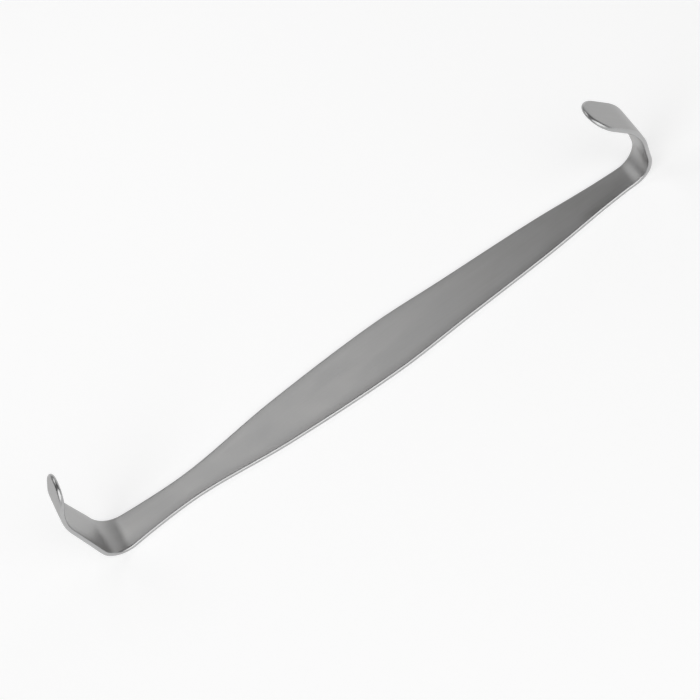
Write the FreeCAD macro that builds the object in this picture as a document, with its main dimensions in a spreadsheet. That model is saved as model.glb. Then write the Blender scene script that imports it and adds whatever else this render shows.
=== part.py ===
import FreeCAD, Part
import math
import os
import Sketcher
from FreeCAD import Rotation, Vector

# Double-ended hand-held surgical retractor, bent from one strip of steel.
#
# A flat strap, widest at its middle, narrows to a neck near each end. Both ends
# bend up about a right angle into a short broad blade, and each blade curls inward
# into a lip with a round end. One end is deep and the other is shorter, so that the
# surgeon turns the tool over to change the depth.
#
# Frame: millimetres, +Z up, X along the strap and Y across it. The origin is under
# the middle of the overall length, on the surface that the tool lies on. The deep
# end is toward -X. The tool is symmetric about the XZ plane.

doc = FreeCAD.newDocument("retractor")

# Driving sizes in millimetres and degrees. A radius is that of the inner face, the
# one that faces up on the strap. A width is the full width at the place it names,
# and a setback is how far that place lies before the end's bend.
SIZES = [
    ("overall_length", 150.0),
    ("strap_thickness", 1.25),
    ("edge_break", 0.3),
    ("middle_width", 14.8),
    ("middle_offset", 3.2),
    ("deep_shoulder_setback", 42.4),
    ("deep_shoulder_width", 12.5),
    ("deep_neck_setback", 15.0),
    ("deep_neck_width", 7.4),
    ("deep_throat_setback", 4.5),
    ("deep_throat_width", 8.4),
    ("deep_bend_width", 9.2),
    ("deep_bend_radius", 5.1),
    ("deep_bend_angle", 87.0),
    ("deep_heel_width", 10.9),
    ("deep_blade_length", 12.2),
    ("deep_blade_width", 9.7),
    ("deep_curl_radius", 12.0),
    ("deep_curl_angle", 34.0),
    ("deep_lip_length", 6.6),
    ("deep_tip_width", 9.1),
    ("short_shoulder_setback", 46.5),
    ("short_shoulder_width", 12.8),
    ("short_neck_setback", 21.5),
    ("short_neck_width", 10.0),
    ("short_throat_setback", 4.5),
    ("short_throat_width", 6.9),
    ("short_bend_width", 6.5),
    ("short_bend_radius", 5.2),
    ("short_bend_angle", 88.0),
    ("short_heel_width", 7.7),
    ("short_blade_length", 7.3),
    ("short_blade_width", 10.5),
    ("short_curl_radius", 10.2),
    ("short_curl_angle", 38.0),
    ("short_lip_length", 9.1),
    ("short_tip_width", 10.0),
]
sheet = doc.addObject("Spreadsheet::Sheet", "sizes")
for row, (alias, size) in enumerate(SIZES, start=1):
    sheet.set("A%d" % row, alias)
    sheet.set("B%d" % row, str(size))
    sheet.setAlias("B%d" % row, alias)
doc.recompute()

THICKNESS = "sizes.strap_thickness"
OUTER_FACE = 0
MIDDLE_LAYER = 0.5


def cell(end, name):
    """One end's own size, as an expression."""
    return "sizes.%s_%s" % (end, name)


def value(expression):
    """What an expression in the driving sizes comes to now."""
    return float(sheet.evalExpression(expression))


class Walk:
    """A place on a line that follows the strap out to one tip, in the side view.

    x is the distance out from the origin, z the height and turn how far the strap
    has turned up, each as an expression. level says where the line lies in the
    thickness: OUTER_FACE, MIDDLE_LAYER, or 1 for the inner face.
    """

    def __init__(self, end, level):
        self.end = end
        self.level = level
        self.turn = "0"
        self.x = bend_start(end)
        self.z = "%g * %s" % (level, THICKNESS)

    def back(self, length):
        """Back along the flat strap, toward its middle."""
        self.x = "%s - %s" % (self.x, length)
        return self

    def straight(self, length):
        self.x = "%s + %s * cos(%s)" % (self.x, length, self.turn)
        self.z = "%s + %s * sin(%s)" % (self.z, length, self.turn)
        return self

    def curve(self, radius_name, angle):
        radius = "(%s + %g * %s)" % (cell(self.end, radius_name), 1 - self.level, THICKNESS)
        turned = "(%s + %s)" % (self.turn, angle)
        self.x = "%s + %s * (sin(%s) - sin(%s))" % (self.x, radius, turned, self.turn)
        self.z = "%s + %s * (cos(%s) - cos(%s))" % (self.z, radius, self.turn, turned)
        self.turn = turned
        return self

    def bend(self, share=1):
        return self.curve("bend_radius", "%g * %s" % (share, cell(self.end, "bend_angle")))

    def curl(self, share=1):
        return self.curve("curl_radius", "%g * %s" % (share, cell(self.end, "curl_angle")))

    def blade(self, share=1):
        return self.straight("%g * %s" % (share, cell(self.end, "blade_length")))


def bend_start(end):
    """Where the flat strap ends, so that the outer faces span the overall length."""
    bend = cell(end, "bend_angle")
    outer_bend = "(%s + %s)" % (cell(end, "bend_radius"), THICKNESS)
    outer_curl = "(%s + %s)" % (cell(end, "curl_radius"), THICKNESS)
    reach = "%s * sin(%s) + %s * cos(%s) + %s * (1 - sin(%s))" % (
        outer_bend, bend, cell(end, "blade_length"), bend, outer_curl, bend)
    return "sizes.overall_length / 2 - (%s)" % reach


def drive(sketch, name, kind, *what, by):
    """Add a driving constraint whose value is an expression."""
    number = math.radians(value(by)) if kind == "Angle" else value(by)
    index = sketch.addConstraint(Sketcher.Constraint(kind, *what, number))
    sketch.renameConstraint(index, name)
    sketch.setExpression("Constraints." + name, by + " * 1 deg" if kind == "Angle" else by)


def add_line(sketch, start, finish):
    return sketch.addGeometry(Part.LineSegment(Vector(*start, 0), Vector(*finish, 0)), False)


def add_arc(sketch, centre, radius, first, last):
    """An arc, counter-clockwise from the first to the last angle."""
    circle = Part.Circle(Vector(*centre, 0), Vector(0, 0, 1), radius)
    arc = Part.ArcOfCircle(circle, math.radians(first), math.radians(last))
    return sketch.addGeometry(arc, False)


# Side view: the line of the strap's outer face from tip to tip, as one chain.
side_line = doc.addObject("Sketcher::SketchObject", "side_line")
side_line.Placement = FreeCAD.Placement(Vector(0, 0, 0), Rotation(Vector(1, 0, 0), 90))


def draw_end(sketch, end, shaft, shaft_point, side):
    """Bend, blade, curl and lip of one end, drawn toward +X where side is 1."""
    walk = Walk(end, OUTER_FACE)
    joint = (shaft, shaft_point)
    for name, curve, run in (("bend", walk.bend, "blade_length"), ("curl", walk.curl, "lip_length")):
        radius = value("%s + %s" % (cell(end, name + "_radius"), THICKNESS))
        before = value(walk.turn)
        centre = (value(walk.x) - radius * math.sin(math.radians(before)),
                  value(walk.z) + radius * math.cos(math.radians(before)))
        curve()
        after = value(walk.turn)
        if side > 0:
            arc = add_arc(sketch, centre, radius, before - 90, after - 90)
            near, far = 1, 2
        else:
            arc = add_arc(sketch, (-centre[0], centre[1]), radius, 270 - after, 270 - before)
            near, far = 2, 1
        start = (side * value(walk.x), value(walk.z))
        walk.straight(cell(end, run))
        line = add_line(sketch, start, (side * value(walk.x), value(walk.z)))
        sketch.addConstraint(Sketcher.Constraint("Tangent", *joint, arc, near))
        sketch.addConstraint(Sketcher.Constraint("Tangent", arc, far, line, 1))
        drive(sketch, "%s_%s_outer_radius" % (end, name), "Radius", arc,
              by="%s + %s" % (cell(end, name + "_radius"), THICKNESS))
        drive(sketch, "%s_%s" % (end, run), "Distance", line, by=cell(end, run))
        turned = walk.turn if side > 0 else "(180 - %s)" % walk.turn
        drive(sketch, "%s_%s_turn" % (end, name), "Angle", line, by=turned)
        joint = (line, 2)


shaft = add_line(side_line, (-value(bend_start("deep")), 0), (value(bend_start("short")), 0))
side_line.addConstraint(Sketcher.Constraint("PointOnObject", shaft, 1, -1))
side_line.addConstraint(Sketcher.Constraint("Horizontal", shaft))
drive(side_line, "deep_bend_start", "DistanceX", shaft, 1, -1, 1, by=bend_start("deep"))
drive(side_line, "short_bend_start", "DistanceX", -1, 1, shaft, 2, by=bend_start("short"))
draw_end(side_line, "deep", shaft, 1, side=-1)
draw_end(side_line, "short", shaft, 2, side=1)

# The strip itself: the side line thickened inward and drawn out across the width.
side_band = doc.addObject("Part::Offset2D", "side_band")
side_band.Source = side_line
side_band.Mode = "Skin"
side_band.Join = "Arc"
side_band.Fill = True
side_band.Value = value(THICKNESS)
side_band.setExpression("Value", THICKNESS)

WIDTHS = [alias for alias, size in SIZES if alias.endswith("_width")]
bent_strip = doc.addObject("Part::Extrusion", "bent_strip")
bent_strip.Base = side_band
bent_strip.DirMode = "Custom"
bent_strip.Dir = Vector(0, 1, 0)
bent_strip.Solid = True
bent_strip.Symmetric = True
bent_strip.setExpression("LengthFwd", "2 * max(%s)" % "; ".join("sizes." + alias for alias in WIDTHS))

# Outline: a body whose sides stand square to the strap all the way along and cut the
# strip to its width. Toward the strap's two faces its sides lean in at 45 degrees,
# which breaks every edge of the strap. It is deeper than the strap is thick, so that
# it passes through both faces.
WALL = "(%s - 2 * sizes.edge_break)" % THICKNESS
DEPTH = "(3 * %s)" % THICKNESS


def place_across(sketch, walk, side):
    """Stand a sketch square to the strap: its x through the thickness, its y across."""
    sketch.Placement = FreeCAD.Placement(Vector(0, 0, 0), Rotation(Vector(0, 1, 0), 90))
    sketch.setExpression("Placement.Base.x", walk.x if side > 0 else "-(%s)" % walk.x)
    sketch.setExpression("Placement.Base.z", walk.z)
    sketch.setExpression("Placement.Rotation.Angle", "90 %s %s" % ("-" if side > 0 else "+", walk.turn))


def flat_width(width):
    """Width left on the outline's top, where its leaning sides end."""
    return "(%s - (%s - %s))" % (width, DEPTH, WALL)


def outline_section(name, width, walk, side):
    """The outline's whole cross-section at one place along the strap."""
    sketch = doc.addObject("Sketcher::SketchObject", name)
    place_across(sketch, walk, side)
    wall, depth = value(WALL) / 2, value(DEPTH) / 2
    half, flat = value(width) / 2, value(flat_width(width)) / 2
    corners = [(-depth, flat), (-wall, half), (wall, half), (depth, flat),
               (depth, -flat), (wall, -half), (-wall, -half), (-depth, -flat)]
    lines = [add_line(sketch, *pair) for pair in zip(corners, corners[1:] + corners[:1])]
    for first, second in zip(lines, lines[1:] + lines[:1]):
        sketch.addConstraint(Sketcher.Constraint("Coincident", first, 2, second, 1))
    for index in range(4):
        sketch.addConstraint(Sketcher.Constraint("Symmetric", lines[index], 1, lines[index + 4], 1, -1, 1))
    sketch.addConstraint(Sketcher.Constraint("Symmetric", lines[1], 1, lines[1], 2, -2))
    sketch.addConstraint(Sketcher.Constraint("Symmetric", lines[0], 1, lines[3], 1, -2))
    drive(sketch, "wall", "DistanceX", lines[1], 1, lines[1], 2, by=WALL)
    drive(sketch, "depth", "DistanceX", lines[0], 1, lines[3], 1, by=DEPTH)
    drive(sketch, "width", "DistanceY", lines[5], 1, lines[1], 2, by=width)
    drive(sketch, "flat", "DistanceY", lines[3], 2, lines[3], 1, by=flat_width(width))
    return sketch


def round_tip(end, width, walk, side):
    """The outline's round end: half a cross-section turned about the tip's centre."""
    sketch = doc.addObject("Sketcher::SketchObject", end + "_tip_half")
    place_across(sketch, walk, side)
    wall, depth = value(WALL) / 2, value(DEPTH) / 2
    half, flat = side * value(width) / 2, side * value(flat_width(width)) / 2
    corners = [(-depth, 0), (-depth, flat), (-wall, half), (wall, half), (depth, flat), (depth, 0)]
    lines = [add_line(sketch, *pair) for pair in zip(corners, corners[1:] + corners[:1])]
    for first, second in zip(lines, lines[1:] + lines[:1]):
        sketch.addConstraint(Sketcher.Constraint("Coincident", first, 2, second, 1))
    for first, second in ((0, 5), (1, 4), (2, 3)):
        sketch.addConstraint(Sketcher.Constraint("Symmetric", lines[first], 1, lines[second], 1, -2))
    sketch.addConstraint(Sketcher.Constraint("PointOnObject", lines[0], 1, -1))
    sketch.addConstraint(Sketcher.Constraint("Vertical", lines[0]))
    drive(sketch, "wall", "DistanceX", lines[2], 1, lines[2], 2, by=WALL)
    drive(sketch, "depth", "DistanceX", lines[0], 1, lines[5], 1, by=DEPTH)
    for name, line, reach in (("half_width", lines[2], "%s / 2" % width),
                              ("half_flat", lines[1], "%s / 2" % flat_width(width))):
        points = (-1, 1, line, 1) if side > 0 else (line, 1, -1, 1)
        drive(sketch, name, "DistanceY", *points, by=reach)
    turned = doc.addObject("Part::Revolution", end + "_round_tip")
    turned.Source = sketch
    turned.AxisLink = (sketch, ["H_Axis"])
    turned.Angle = 180
    turned.Solid = True
    return turned


def mean_of(first, second):
    return "(%s + %s) / 2" % (first, second)


def middle_walk(end):
    """Out along the middle of the strap's thickness, from the start of the end's bend."""
    return Walk(end, MIDDLE_LAYER)


def end_stations(end):
    """Places along one end, from the strap's shoulder to the centre of the round tip."""
    blade_width, tip_width = cell(end, "blade_width"), cell(end, "tip_width")
    bend_width, heel_width = cell(end, "bend_width"), cell(end, "heel_width")
    tip_centre = "(%s - %s / 2)" % (cell(end, "lip_length"), tip_width)
    return [
        ("shoulder", cell(end, "shoulder_width"), middle_walk(end).back(cell(end, "shoulder_setback"))),
        ("neck", cell(end, "neck_width"), middle_walk(end).back(cell(end, "neck_setback"))),
        ("throat", cell(end, "throat_width"), middle_walk(end).back(cell(end, "throat_setback"))),
        ("bend_start", bend_width, middle_walk(end)),
        ("bend_middle", mean_of(bend_width, heel_width), middle_walk(end).bend(0.5)),
        ("heel", heel_width, middle_walk(end).bend()),
        ("blade_middle", mean_of(heel_width, blade_width), middle_walk(end).bend().blade(0.5)),
        ("blade_end", blade_width, middle_walk(end).bend().blade()),
        ("curl_middle", mean_of(blade_width, tip_width), middle_walk(end).bend().blade().curl(0.5)),
        ("lip_start", tip_width, middle_walk(end).bend().blade().curl()),
        ("tip_centre", tip_width, middle_walk(end).bend().blade().curl().straight(tip_centre)),
    ]


middle = middle_walk("deep")
middle.x = "sizes.middle_offset"
sections = [outline_section("middle", "sizes.middle_width", middle, side=-1)]
rounds = []
for end, side in (("deep", -1), ("short", 1)):
    stations = end_stations(end)
    made = [outline_section("%s_%s" % (end, name), width, walk, side) for name, width, walk in stations]
    sections = made[::-1] + sections if side < 0 else sections + made
    rounds.append(round_tip(end, cell(end, "tip_width"), stations[-1][2], side))

outline_sides = doc.addObject("Part::Loft", "outline_sides")
outline_sides.Sections = sections
outline_sides.Solid = True
outline_sides.Ruled = False
outline_sides.MaxDegree = 2

outline = doc.addObject("Part::MultiFuse", "outline")
outline.Shapes = [outline_sides] + rounds

retractor = doc.addObject("Part::Common", "retractor")
retractor.Label = "retractor"
retractor.Base = bent_strip
retractor.Tool = outline
doc.recompute()

# Check the model before it is written.
for obj in doc.Objects:
    if "Invalid" in obj.State or "Error" in obj.State:
        raise RuntimeError("%s failed: %s" % (obj.Name, obj.State))
for sketch in doc.findObjects("Sketcher::SketchObject"):
    if sketch.solve() != 0 or not sketch.FullyConstrained:
        raise RuntimeError("%s isn't fully held by its sizes" % sketch.Name)
steel = retractor.Shape
if steel.isNull() or not steel.isValid() or len(steel.Solids) != 1:
    raise RuntimeError("the retractor isn't one valid solid")
box = steel.optimalBoundingBox()
print("retractor %.2f x %.2f x %.2f mm, volume %.1f mm3, lowest point %.4f" % (
    box.XLength, box.YLength, box.ZLength, steel.Volume, box.ZMin))

os.makedirs("parts", exist_ok=True)
steel.Solids[0].exportStep("parts/%s.step" % retractor.Label)
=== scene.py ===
# %% [markdown]
# # A double-ended surgical retractor
#
# The real tool is made from one strip of stainless steel. A maker cuts a flat blank,
# rounds its edges, bends both ends up, gives the whole strip a satin finish and
# polishes the edges last. This lesson follows the same order: we draw the blank flat,
# round its edges, bend it, and only then look at the steel and the light.
#
# Everything is in metres in the frame of the solid model: +Z is up, X runs along the
# strap and Y across it, and the deep end is toward -X.

# %% Load the solid model and keep its box
import math

import bmesh
import bpy
from mathutils import Matrix, Vector


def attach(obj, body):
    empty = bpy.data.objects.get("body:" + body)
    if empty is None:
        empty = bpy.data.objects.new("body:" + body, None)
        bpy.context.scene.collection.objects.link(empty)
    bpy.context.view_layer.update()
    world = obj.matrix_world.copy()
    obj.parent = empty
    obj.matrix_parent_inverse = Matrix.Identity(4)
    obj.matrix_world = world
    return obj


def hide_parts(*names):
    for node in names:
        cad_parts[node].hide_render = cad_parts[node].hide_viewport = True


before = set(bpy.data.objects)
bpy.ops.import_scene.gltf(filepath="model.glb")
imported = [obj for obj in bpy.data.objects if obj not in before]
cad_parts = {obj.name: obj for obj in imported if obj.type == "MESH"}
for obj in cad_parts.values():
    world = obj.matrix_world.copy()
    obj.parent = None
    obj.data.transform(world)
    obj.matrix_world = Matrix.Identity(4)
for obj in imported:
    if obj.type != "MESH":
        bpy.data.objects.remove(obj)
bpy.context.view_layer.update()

MM = 0.001

# %% [markdown]
# ## The sizes
#
# Each end has a bend, a straight blade, a gentle curl and a straight lip with a round
# tip. These are the sizes of the solid model, so the piece that we make here lies
# exactly where the solid does. Radii are those of the inner face, the one that faces
# up on the strap. The two ends differ a little in every size: that is what makes one
# of them the deep end.

# %% Sizes in millimetres and degrees
OVERALL_LENGTH = 150.0
THICKNESS = 1.25
EDGE_RADIUS = 0.6
# The widest place: (how far along, the width there).
MIDDLE = (3.2, 14.8)

# Shoulder, neck and throat are (how far back from the bend, the width there).
DEEP = dict(side=-1, bend_radius=5.1, bend_angle=87.0, blade=12.2,
            curl_radius=12.0, curl_angle=34.0, lip=6.6,
            shoulder=(42.4, 12.5), neck=(15.0, 7.4), throat=(4.5, 8.4),
            bend_width=9.2, heel_width=10.9, blade_width=9.7, tip_width=9.1)
SHORT = dict(side=1, bend_radius=5.2, bend_angle=88.0, blade=7.3,
             curl_radius=10.2, curl_angle=38.0, lip=9.1,
             shoulder=(46.5, 12.8), neck=(21.5, 10.0), throat=(4.5, 6.9),
             bend_width=6.5, heel_width=7.7, blade_width=10.5, tip_width=10.0)
print("the strip is", THICKNESS, "mm thick and", MIDDLE[1], "mm wide at its middle")

# %% [markdown]
# ## Where the strip goes when it is bent
#
# Seen from the side, the middle of the strip's thickness is a chain of lines and arcs.
# It helps to measure along the strip itself, as a tape laid on it would: `along` is 0
# at the origin and grows to either side. One function answers the only question that
# the bending has to settle: for a place on the flat blank, where is it on the bent
# tool, and which way is the strip's own "up" there?

# %% The side view as runs and arcs
for end in (DEEP, SHORT):
    turn = math.radians(end["bend_angle"])
    outer_bend = end["bend_radius"] + THICKNESS
    outer_curl = end["curl_radius"] + THICKNESS
    reach = (outer_bend * math.sin(turn) + end["blade"] * math.cos(turn)
             + outer_curl * (1 - math.sin(turn)))
    end["shaft"] = OVERALL_LENGTH / 2 - reach
    end["runs"] = [
        ("arc", end["bend_radius"] + THICKNESS / 2, turn),
        ("line", end["blade"], 0),
        ("arc", end["curl_radius"] + THICKNESS / 2, math.radians(end["curl_angle"])),
        ("line", end["lip"], 0)]
    lengths = [size * angle if kind == "arc" else size for kind, size, angle in end["runs"]]
    end["marks"] = [end["shaft"] + sum(lengths[:i]) for i in range(len(lengths) + 1)]
    print("this end's bend starts %.2f mm out and its tip is %.2f mm out, along the strip"
          % (end["shaft"], end["marks"][-1]))


def bent(along, across, height):
    """Where a point of the flat blank lies on the bent tool; height is above the middle layer."""
    end = DEEP if along < 0 else SHORT
    left = abs(along) - end["shaft"]
    x, z, turn = min(abs(along), end["shaft"]), THICKNESS / 2, 0.0
    for kind, size, angle in end["runs"]:
        if left <= 0:
            break
        step = min(left, size * angle if kind == "arc" else size)
        if kind == "arc":
            x += size * (math.sin(turn + step / size) - math.sin(turn))
            z += size * (math.cos(turn) - math.cos(turn + step / size))
            turn += step / size
        else:
            x += step * math.cos(turn)
            z += step * math.sin(turn)
        left -= step
    up = Vector((-math.sin(turn) * end["side"], 0, math.cos(turn)))
    return (Vector((x * end["side"], across, z)) + up * height) * MM


# %% [markdown]
# ## The outline of the blank
#
# The blank is widest at its middle and has a waist near each end. The maker's drawing
# gives the width at a few places only, and a smooth line joins them. Between two given
# widths we use a cubic, and its slope at each of them is a mean of the slopes on either
# side, so the line passes through every given width without a corner.

# %% Widths along the blank
def width_marks():
    """(place along the blank, width there) from the deep tip's centre to the short tip's centre."""
    marks = [MIDDLE]
    for end in (DEEP, SHORT):
        s, side = end["marks"], end["side"]
        waist = (end["shoulder"], end["neck"], end["throat"])
        places = [(end["shaft"] - back, width) for back, width in waist]
        widths = [end[name] for name in ("bend_width", "heel_width", "blade_width", "tip_width")]
        for i in range(3):
            places.append((s[i], widths[i]))
            places.append(((s[i] + s[i + 1]) / 2, (widths[i] + widths[i + 1]) / 2))
        places += [(s[3], end["tip_width"]), (s[4] - end["tip_width"] / 2, end["tip_width"])]
        marks += [(side * place, width) for place, width in places]
    return sorted(marks)


MARKS = width_marks()


def mark_slope(i):
    """The outline's slope at one of the given widths; level at the ends and at the widest place."""
    if i in (0, len(MARKS) - 1) or MARKS[i] == MIDDLE:
        return 0.0
    (a, wa), (b, wb), (c, wc) = MARKS[i - 1:i + 2]
    before, after = (wb - wa) / (b - a), (wc - wb) / (c - b)
    return (before * (c - b) + after * (b - a)) / (c - a)


SLOPES = [mark_slope(i) for i in range(len(MARKS))]


def half_width(along):
    """(half of the blank's width, its slope) at a place between the two tips' centres."""
    i = max(0, min(len(MARKS) - 2, sum(place <= along for place, width in MARKS) - 1))
    (a, wa), (b, wb) = MARKS[i], MARKS[i + 1]
    gap = b - a
    t = min(max((along - a) / gap, 0), 1)
    width = (wa * (1 + 2 * t) * (1 - t) ** 2 + SLOPES[i] * gap * t * (1 - t) ** 2
             + wb * t * t * (3 - 2 * t) - SLOPES[i + 1] * gap * t * t * (1 - t))
    slope = ((wb - wa) * 6 * t * (1 - t) / gap
             + SLOPES[i] * (1 - t) * (1 - 3 * t) + SLOPES[i + 1] * t * (3 * t - 2))
    return width / 2, slope / 2


print("the blank is %.1f mm wide at the middle and %.1f mm at the deep end's waist"
      % (2 * half_width(MIDDLE[0])[0], 2 * half_width(-DEEP["shaft"] + DEEP["neck"][0])[0]))

# %% [markdown]
# ## Stations
#
# We cut the blank into slices. Each slice knows a point of the outline and the
# direction that leads straight out of the metal there. The slices are close together
# where the strip will be bent and wider apart where it stays flat. Round each tip they
# follow the half circle by equal angles, which keeps the tip truly round.

# %% Slice the blank
SLICE_STEPS = dict(shaft=1.0, bend=0.3, blade=0.6, curl=0.4, lip=0.6)
TIP_SLICES = 20


def spread(start, stop, step):
    """Places from start up to, but without, stop, about one step apart."""
    count = max(1, round(abs(stop - start) / step))
    return [start + (stop - start) * i / count for i in range(count)]


def outline_point(along):
    """(along, across, and the outward direction in the same two)."""
    half, slope = half_width(along)
    size = math.hypot(1, slope)
    return along, half, -slope / size, 1 / size


def tip_points(end):
    """Outline points on the round tip, from its widest to its far point."""
    radius = end["tip_width"] / 2
    centre = end["marks"][-1] - radius
    angles = [math.pi / 2 * i / TIP_SLICES for i in range(TIP_SLICES + 1)]
    return [(end["side"] * (centre + radius * math.sin(a)), radius * math.cos(a),
             end["side"] * math.sin(a), math.cos(a)) for a in angles]


def end_places(end):
    """Places from the shaft's end out to the tip's centre."""
    marks = end["marks"][:4] + [end["marks"][4] - end["tip_width"] / 2]
    found = []
    for part, start, stop in zip(("bend", "blade", "curl", "lip"), marks, marks[1:]):
        found += spread(start, stop, SLICE_STEPS[part])
    return found


places = [-p for p in reversed(end_places(DEEP))]
places += spread(-DEEP["shaft"], SHORT["shaft"], SLICE_STEPS["shaft"])[1:] + end_places(SHORT)
stations = tip_points(DEEP)[::-1] + [outline_point(p) for p in places] + tip_points(SHORT)
print(len(stations), "slices from tip to tip")

# %% [markdown]
# ## Round the edges, then bend
#
# A slice is a ring: across the upper face, round one edge, back across the lower face
# and round the other edge. The edge is rounded by stepping inward from the outline
# while the height changes, so the rounding is the same along the sides and round the
# tips, as a polishing wheel leaves it. The wheel is soft, so it also takes a trace off
# the faces beside the edge: over the last few millimetres the inner face sinks by a
# fifth of a millimetre and the outer one by much less. Nobody would notice that with a
# finger, but satin steel shows it as a soft shading.
#
# Each point is placed on the flat blank first and then sent through `bent`. We also
# write its place on the flat blank into each point, and how much of it belongs to the
# rounded edge, for the finish to use later.

# %% Build the strip
COLUMNS = 6
EDGE_STEPS = 6
# How far each face sinks at the outline, and how far in from there it has points.
SINK = dict(upper=0.2, lower=0.05)
SINK_PLACES = (2.7, 2.2, 1.75, 1.35, 0.95)


def sunk(face, inward):
    """How far one of the two faces has sunk at a distance in from the outline."""
    return SINK[face] * (1 - inward / SINK_PLACES[0]) ** 2


def half_profile(face):
    """(inward, height, edge share) from where the face starts to sink to the outline."""
    points = [(inward, THICKNESS / 2 - sunk(face, inward), 0.0) for inward in SINK_PLACES]
    height = THICKNESS / 2 - sunk(face, EDGE_RADIUS)
    for i in range(EDGE_STEPS + 1):
        turned = math.radians(90 * i / EDGE_STEPS)
        share = math.sin(turned) ** 0.5
        points.append((EDGE_RADIUS * (1 - math.sin(turned)), height * math.cos(turned), share))
    return points


def ring(station):
    """One slice, once round, as a list of (along, across, height, edge share)."""
    along, half, out_along, out_across = station
    profile = half_profile("upper")
    profile += [(inward, -height, share) for inward, height, share in half_profile("lower")[-2::-1]]
    side = [(along - out_along * inward, half - out_across * inward, height, share)
            for inward, height, share in profile]
    inner_along, inner_across = side[0][:2]
    columns = [inner_across * (1 - 2 * j / COLUMNS) for j in range(1, COLUMNS)]
    upper = [(inner_along, y, THICKNESS / 2, 0.0) for y in columns]
    points = [(a, -y, h, e) for a, y, h, e in side[::-1]] + [(a, -y, h, e) for a, y, h, e in upper]
    points += side + [(a, y, -h, e) for a, y, h, e in upper]
    return points


strip_mesh = bpy.data.meshes.new("retractor_strip")
build = bmesh.new()
lay = build.verts.layers.float_vector.new("lie_on_strip")
edge_share = build.verts.layers.float.new("edge_share")
rings = []
for station in stations:
    made = []
    for along, across, height, share in ring(station):
        vertex = build.verts.new(bent(along, across, height))
        vertex[lay] = (along, across, height)
        vertex[edge_share] = share
        made.append(vertex)
    rings.append(made)
for first, second in zip(rings, rings[1:]):
    for i in range(len(first)):
        j = (i + 1) % len(first)
        build.faces.new((first[i], second[i], second[j], first[j]))
bmesh.ops.remove_doubles(build, verts=build.verts, dist=1e-7)
bmesh.ops.recalc_face_normals(build, faces=build.faces)
for face in build.faces:
    face.smooth = True
open_edges = sum(not edge.is_manifold for edge in build.edges)
build.to_mesh(strip_mesh)
build.free()
strip = bpy.data.objects.new("retractor_strip", strip_mesh)
bpy.context.scene.collection.objects.link(strip)
print(len(strip_mesh.polygons), "faces, open edges:", open_edges)

# %% [markdown]
# The flat faces meet the rounded edges in a tangent, and plain smooth shading would
# let the edge's tilt leak into them. The Weighted Normal modifier lets the larger
# faces decide, so the flats stay flat and only the edge rolls over.

# %% Keep the flats flat, and stand the strip in for the solid
weighted = strip.modifiers.new("flats stay flat", "WEIGHTED_NORMAL")
weighted.weight = 100
weighted.keep_sharp = False
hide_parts("retractor")
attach(strip, "root")
print(strip.name, "stands in for the solid, with", len(strip.modifiers), "modifier")

# %% [markdown]
# ## A small language for shaders
#
# A finish is mostly arithmetic on patterns. Wrapping a node socket in a class that
# knows plus, minus and times lets us write that arithmetic as it reads. Every operator
# adds one Math node. Other nodes come from `node`, which sets their settings first and
# then fills their sockets.

# %% Shader helpers
class Wire:
    """One output socket, with arithmetic."""

    def __init__(self, tree, socket):
        self.tree, self.socket = tree, socket

    def __add__(self, other):
        return calculate(self.tree, "ADD", self, other)

    def __sub__(self, other):
        return calculate(self.tree, "SUBTRACT", self, other)

    def __mul__(self, other):
        return calculate(self.tree, "MULTIPLY", self, other)

    def __rsub__(self, other):
        return calculate(self.tree, "SUBTRACT", other, self)

    __radd__ = __add__
    __rmul__ = __mul__

    def at_most(self, other):
        return calculate(self.tree, "MINIMUM", self, other)

    def at_least(self, other):
        return calculate(self.tree, "MAXIMUM", self, other)


def node(tree, kind, settings=(), sockets=(), out=0):
    """One node: settings first, then a value or a wire for each socket. Returns an output."""
    made = tree.nodes.new(kind)
    for name, value in dict(settings).items():
        setattr(made, name, value)
    for name, value in dict(sockets).items():
        if isinstance(value, Wire):
            tree.links.new(value.socket, made.inputs[name])
        else:
            made.inputs[name].default_value = value
    return Wire(tree, made.outputs[out])


def calculate(tree, operation, first, second):
    """One Math node."""
    return node(tree, "ShaderNodeMath", {"operation": operation}, {0: first, 1: second})


def between(tree, value, low, high):
    """A soft step: 0 below low, 1 above high."""
    return node(tree, "ShaderNodeMapRange", {"interpolation_type": "SMOOTHSTEP"},
                {"Value": value, "From Min": low, "From Max": high})


def blend_colour(tree, share, first, second):
    """A mix of two colours by a share from 0 to 1."""
    colours = {0: share, 6: first, 7: second}
    return node(tree, "ShaderNodeMix", {"data_type": "RGBA"}, colours, out=2)


def new_material(name):
    """A fresh material, its node tree and its output node."""
    material = bpy.data.materials.new(name)
    material.use_nodes = True
    tree = material.node_tree
    tree.nodes.clear()
    return material, tree, tree.nodes.new("ShaderNodeOutputMaterial")


# %% [markdown]
# ## Satin steel
#
# Surgical steel is matt on purpose, so that it doesn't dazzle under an operating lamp.
# The satin comes from a fine belt that runs along the strip: it leaves hair-fine lines
# that are long in one direction and about a tenth of a millimetre wide. The edges are
# polished afterwards for the hand's sake, so they are smoother and mirror the lamp as a
# bright thread.
#
# So the finish has four parts: the belt's lines, a slow cloudiness where the belt
# pressed more or less, a few faint handling marks, and the polish on the edges. The
# patterns follow the places that we wrote into the mesh, so the lines turn with the
# strip round its bends.

# %% Satin steel material
SATIN_ROUGHNESS = 0.46
DARKER_SATIN = (0.41, 0.405, 0.4, 1)
PALER_SATIN = (0.49, 0.49, 0.49, 1)
EDGE_COLOUR = (0.46, 0.46, 0.46, 1)

steel, tree, steel_out = new_material("satin_steel")
on_strip = node(tree, "ShaderNodeAttribute", {"attribute_name": "lie_on_strip"}, out=1)
share = node(tree, "ShaderNodeAttribute", {"attribute_name": "edge_share"}, out=2)


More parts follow.
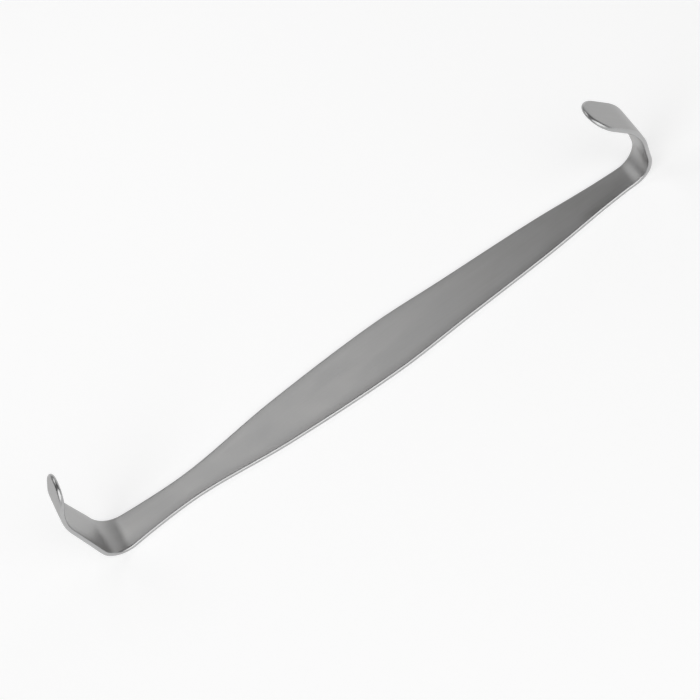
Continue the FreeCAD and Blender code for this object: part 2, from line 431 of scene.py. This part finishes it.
def noise(scale, detail, roughness):
    """A soft pattern; scale is how fine it is along the strip, across it and through it."""
    where = node(tree, "ShaderNodeVectorMath", {"operation": "MULTIPLY"}, {0: on_strip, 1: scale})
    return node(tree, "ShaderNodeTexNoise", {}, {
        "Vector": where, "Scale": 1.0, "Detail": detail, "Roughness": roughness})


belt_lines = noise((0.22, 9.0, 9.0), 3.0, 0.6)
belt_streaks = noise((0.05, 1.6, 1.6), 2.0, 0.5)
clouds = noise((0.08, 0.16, 0.16), 3.0, 0.55)
grain = noise((6.0, 11.0, 11.0), 2.0, 0.6)
handling = between(tree, noise((0.9, 5.0, 5.0), 4.0, 0.7), 0.66, 0.74)

polish = between(tree, share + (clouds - 0.5) * 0.3, 0.25, 0.6)
satin_roughness = (SATIN_ROUGHNESS + (belt_streaks - 0.5) * 0.12 + (clouds - 0.5) * 0.2
                   + (belt_lines - 0.5) * 0.06 + handling * 0.05)
steel_roughness = satin_roughness - polish * 0.16
tone = 0.5 + (belt_streaks - 0.5) * 0.8 + (clouds - 0.5) * 1.4 + (grain - 0.5) * 0.35
tone = tone.at_least(0.0).at_most(1.0)
satin_colour = blend_colour(tree, tone, DARKER_SATIN, PALER_SATIN)
steel_colour = blend_colour(tree, polish, satin_colour, EDGE_COLOUR)
relief = (belt_lines * 0.7 + grain * 0.3) * (1 - polish * 0.8)
bump = node(tree, "ShaderNodeBump", {}, {"Strength": 0.12, "Distance": 0.00002, "Height": relief})
surface = node(tree, "ShaderNodeBsdfPrincipled", {}, {
    "Base Color": steel_colour, "Metallic": 1.0, "Roughness": steel_roughness, "Normal": bump})
tree.links.new(surface.socket, steel_out.inputs["Surface"])
strip_mesh.materials.append(steel)
print("steel nodes:", len(tree.nodes))

# %% [markdown]
# ## The table
#
# The tool lies on a plain white sheet. Far off, the sheet curves up all round, as a
# studio backdrop does, so that no horizon shows from a low viewpoint. A real white
# sheet under soft lamps comes out a little grey, so this one adds a glow that only the
# camera and reflections see: it takes the sheet to white and adds no light to the
# tool. The sheet itself stays a plain matt surface, which keeps the tool's soft shadow.

# %% Table
# (distance from the middle, height) outward along the sheet, in metres.
SHEET_PROFILE = [(2.4, 0.0), (2.6, 0.02), (2.8, 0.08), (2.95, 0.2), (3.05, 0.4), (3.1, 0.8)]
SHEET_SIDES = 96
SHEET_COLOUR = (0.55, 0.55, 0.55, 1)
GLOW = 0.57

build = bmesh.new()
circles = []
for radius, height in SHEET_PROFILE:
    turns = [2 * math.pi * i / SHEET_SIDES for i in range(SHEET_SIDES)]
    circles.append([build.verts.new((radius * math.cos(t), radius * math.sin(t), height))
                    for t in turns])
build.faces.new(circles[0])
for inner, outer in zip(circles, circles[1:]):
    for i in range(SHEET_SIDES):
        j = (i + 1) % SHEET_SIDES
        build.faces.new((inner[i], outer[i], outer[j], inner[j])).smooth = True
table_mesh = bpy.data.meshes.new("table")
build.to_mesh(table_mesh)
build.free()
table = bpy.data.objects.new("table", table_mesh)
bpy.context.scene.collection.objects.link(table)
table_white, tree, table_out = new_material("table_white")
light_path = tree.nodes.new("ShaderNodeLightPath")
camera_ray, glossy_ray, transmission_ray = (
    Wire(tree, light_path.outputs[name])
    for name in ("Is Camera Ray", "Is Glossy Ray", "Is Transmission Ray"))
seen = (camera_ray + glossy_ray + transmission_ray).at_most(1.0)
sheet = node(tree, "ShaderNodeBsdfPrincipled", {}, {
    "Base Color": SHEET_COLOUR, "Roughness": 0.9, "Specular IOR Level": 0.1})
glow = node(tree, "ShaderNodeEmission", {}, {"Color": (1, 1, 1, 1), "Strength": seen * GLOW})
both = node(tree, "ShaderNodeAddShader", {}, {0: sheet, 1: glow})
tree.links.new(both.socket, table_out.inputs["Surface"])
table_mesh.materials.append(table_white)
print("a sheet %.1f m across with a rim %.1f m high" % (table.dimensions.x, table.dimensions.z))

# %% [markdown]
# ## Soft studio light
#
# Steel shows its surroundings more than its own colour, so lighting it means placing
# large pale shapes where the steel will mirror them. The main softbox hangs on the
# camera's side. It lights the table, and the near edge mirrors it as a bright thread.
# A small one stands close behind the deep end, and the flat strap mirrors that: because
# it is so close, the strap is pale toward the deep end and sinks to grey toward the
# other. The third one, far to the side, fills the deep bend, which would otherwise
# mirror the room. The room around them is a plain dark grey.

# %% Lamps and room
def softbox(name, place, aim, width, height, level):
    """A rectangular soft lamp. level is how bright it looks when it is seen in a mirror."""
    lamp = bpy.data.lights.new(name, "AREA")
    lamp.shape = "RECTANGLE"
    lamp.size, lamp.size_y = width, height
    lamp.energy = level * math.pi * width * height
    holder = bpy.data.objects.new(name, lamp)
    bpy.context.scene.collection.objects.link(holder)
    holder.location = place
    holder.rotation_euler = (Vector(aim) - Vector(place)).to_track_quat("-Z", "Y").to_euler()
    print("%s: %.2f by %.2f m, %.1f W" % (name, width, height, lamp.energy))


softbox("overhead_softbox", (-0.1, -0.60, 0.65), (0, 0, 0), 1.8, 0.9, 1.7)
softbox("back_softbox", (-0.083, 0.19, 0.255), (-0.04, 0, 0), 0.23, 0.16, 1.5)
softbox("side_softbox", (0.38, 0.38, 0.30), (-0.06, 0, 0), 0.65, 0.35, 0.5)

ROOM_COLOUR = (0.1, 0.1, 0.1, 1)
world = bpy.data.worlds.new("grey_room")
bpy.context.scene.world = world
world.use_nodes = True
tree = world.node_tree
tree.nodes.clear()
room_out = tree.nodes.new("ShaderNodeOutputWorld")
room = node(tree, "ShaderNodeBackground", {}, {"Color": ROOM_COLOUR, "Strength": 1.0})
tree.links.new(room.socket, room_out.inputs["Surface"])

# %% [markdown]
# ## The camera
#
# The photograph looks down on the tool from a little over 50 degrees, with a long
# lens, and the camera is turned so that the tool lies corner to corner.

# %% Camera
camera = bpy.data.objects.new("camera", bpy.data.cameras.new("camera"))
bpy.context.scene.collection.objects.link(camera)
camera.data.sensor_width = 36.0
camera.data.lens = 98.48
# The directions of the picture's right, its top and the viewer, and where the camera stands.
right = Vector((0.81266, -0.43230, -0.39077))
up = Vector((0.57783, 0.68465, 0.44426))
back = Vector((0.07549, -0.58683, 0.80618))
stand = Vector((28.70, -247.42, 347.70)) * MM
camera.matrix_world = Matrix.Translation(stand) @ Matrix((right, up, back)).transposed().to_4x4()
camera.data.clip_start, camera.data.clip_end = 0.01, 20
bpy.context.scene.camera = camera
bpy.context.scene.view_settings.view_transform = "Standard"
print("the camera looks down at %.1f degrees" % math.degrees(math.asin(back.z)))
